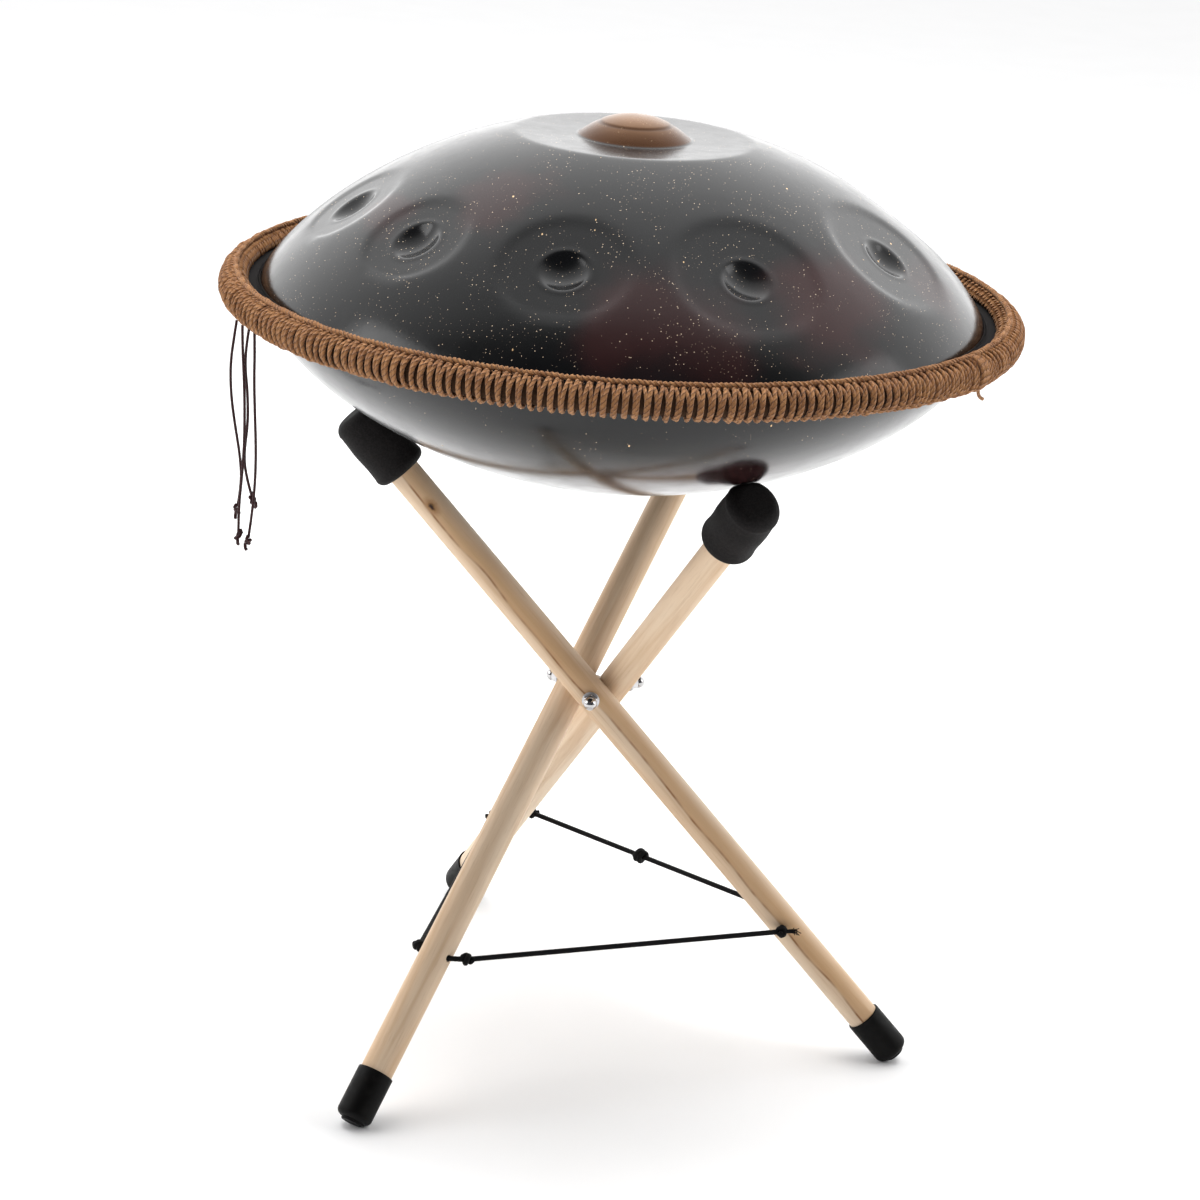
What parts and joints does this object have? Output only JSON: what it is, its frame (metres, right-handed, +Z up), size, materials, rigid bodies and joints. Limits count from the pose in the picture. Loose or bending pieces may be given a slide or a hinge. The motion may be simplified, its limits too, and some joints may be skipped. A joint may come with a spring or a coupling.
{
  "type": "handpan on a folding stand",
  "caption": "Steel handpan with pressed tone fields, a rope-wrapped rim and hanging tie cords, resting on a folding crossed-leg wooden stand.",
  "frame": {"origin": "on the floor, straight below the centre of the pan", "axes": "+Z up through the pan's centre; +X and -Y as the pan is seen from the front, with leg a's bolt facing about -Y"},
  "size_m": [0.58, 0.58, 0.7092],
  "materials": {
    "steel_top": "dark nitrided steel with a satin gloss and fine gold flecks",
    "steel_bottom": "dark nitrided steel with a satin gloss",
    "glue": "cured dark adhesive",
    "jute": "brown jute cord in looped wraps",
    "tie_cord": "waxed dark red cord",
    "beech": "pale unlacquered round dowel, sanded",
    "foam": "matte black closed-cell foam",
    "rubber": "smooth black rubber",
    "black_rope": "black braided nylon",
    "zinc_steel": "zinc plated",
    "chrome": "bright plated"
  },
  "bodies": {
    "hub": {"hub_studs": "zinc_steel", "washers": "chrome", "cap_nuts": "chrome", "rope_span_a": "black_rope", "rope_span_b": "black_rope", "rope_span_c": "black_rope", "rope_mid_knot": "black_rope"},
    "pan": {"top_shell": "steel_top", "bottom_shell": "steel_bottom", "rim_glue": "glue", "rim_wrap": "jute", "tie_cord_1": "tie_cord", "tie_cord_2": "tie_cord", "tie_cord_3": "tie_cord", "tie_cord_4": "tie_cord", "tie_knot_1": "tie_cord", "tie_knot_2": "tie_cord", "tie_knot_3": "tie_cord", "tie_knot_4": "tie_cord"},
    "leg_a": {"leg_a": "beech", "pad_a": "foam", "foot_a": "rubber", "rope_knots_a": "black_rope"},
    "leg_b": {"leg_b": "beech", "pad_b": "foam", "foot_b": "rubber", "rope_knots_b": "black_rope"},
    "leg_c": {"leg_c": "beech", "pad_c": "foam", "foot_c": "rubber", "rope_knots_c": "black_rope"}
  },
  "joints": [
    {"name": "pan_lift", "type": "slide", "parent": "hub", "child": "pan", "axis": [0, 0, 1], "range_m": [0, 0.3]},
    {"name": "leg_a_fold", "type": "hinge", "parent": "hub", "child": "leg_a", "pos_m": [-0.00076, -0.01738, 0.276], "axis": [0.0436, 0.999, 0], "range_deg": [0, 37], "deforming": ["rope_span_a"]},
    {"name": "leg_b_fold", "type": "hinge", "parent": "hub", "child": "leg_b", "pos_m": [0.01543, 0.00803, 0.276], "axis": [-0.887, -0.4617, 0], "range_deg": [0, 37], "deforming": ["rope_span_b"]},
    {"name": "leg_c_fold", "type": "hinge", "parent": "hub", "child": "leg_c", "pos_m": [-0.01468, 0.00935, 0.276], "axis": [0.8434, -0.5373, 0], "range_deg": [0, 37], "deforming": ["rope_span_c"]}
  ],
  "couplings": [
    {"joint": "leg_a_fold", "follows": "pan_lift", "rad_per_m": 2.1515},
    {"joint": "leg_b_fold", "follows": "pan_lift", "rad_per_m": 2.1515},
    {"joint": "leg_c_fold", "follows": "pan_lift", "rad_per_m": 2.1515}
  ]
}
